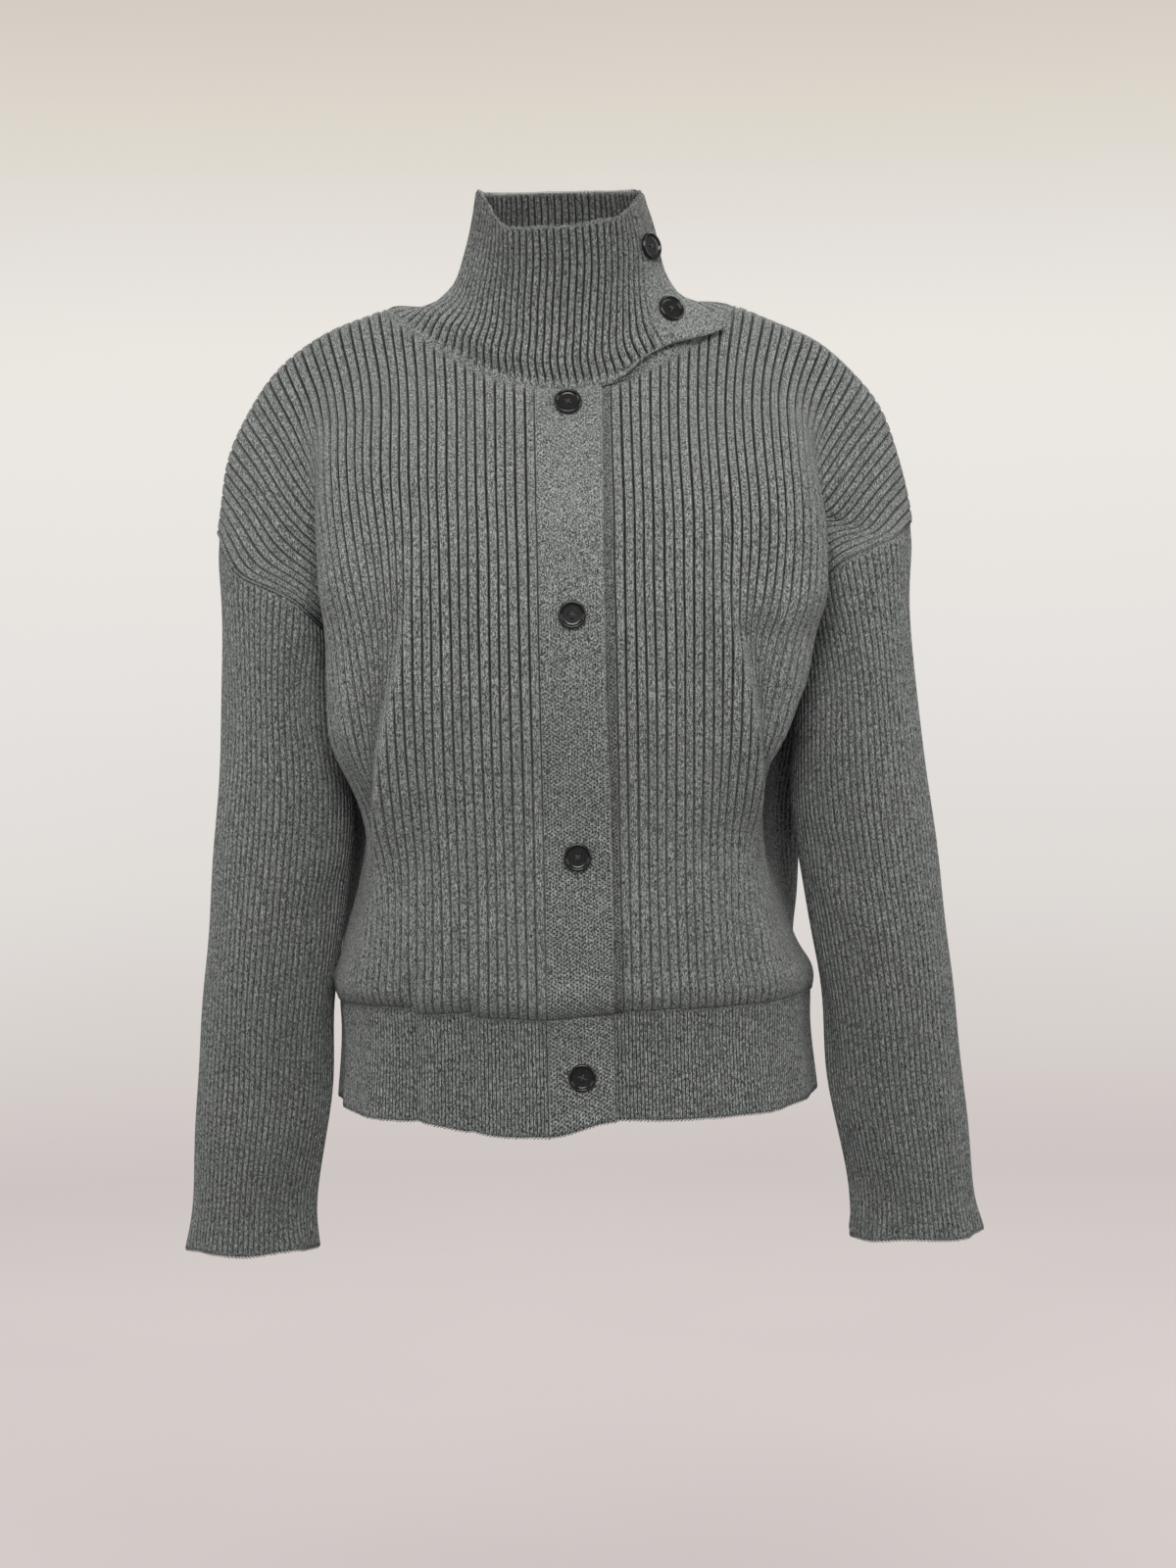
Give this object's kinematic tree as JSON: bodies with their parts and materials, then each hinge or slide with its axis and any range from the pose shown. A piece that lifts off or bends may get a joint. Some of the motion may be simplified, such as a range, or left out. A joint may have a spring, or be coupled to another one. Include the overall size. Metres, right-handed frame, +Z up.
{
  "type": "polo neck cardigan",
  "caption": "Boxy knitted cardigan with a buttoned wrap-over polo neck, drop shoulders, long straight sleeves and a ribbed hem band, in the hollow form it has when worn.",
  "frame": {"origin": "middle of the neck base, level with the tops of the shoulders, where the wearer holds the garment up", "axes": "+Z up along the standing wearer, -Y is the front with the buttons, +X is the wearer's left"},
  "size_m": [0.5846, 0.2538, 0.7664],
  "materials": {
    "rib_knit": "soft heathered wool rib, slightly fuzzy",
    "plain_knit": "soft heathered fine wool knit, slightly fuzzy",
    "black_horn": "polished black horn look"
  },
  "bodies": {
    "root": {"front_left": "rib_knit", "front_right": "rib_knit", "back": "rib_knit", "sleeve_left": "rib_knit", "sleeve_right": "rib_knit", "collar": "rib_knit", "button_band": "plain_knit", "underlap_band": "plain_knit", "hem_band": "rib_knit", "hem_button_band": "plain_knit", "button_front_1": "black_horn", "button_front_2": "black_horn", "button_front_3": "black_horn", "button_front_4": "black_horn", "button_collar_1": "black_horn", "button_collar_2": "black_horn"}
  },
  "joints": []
}
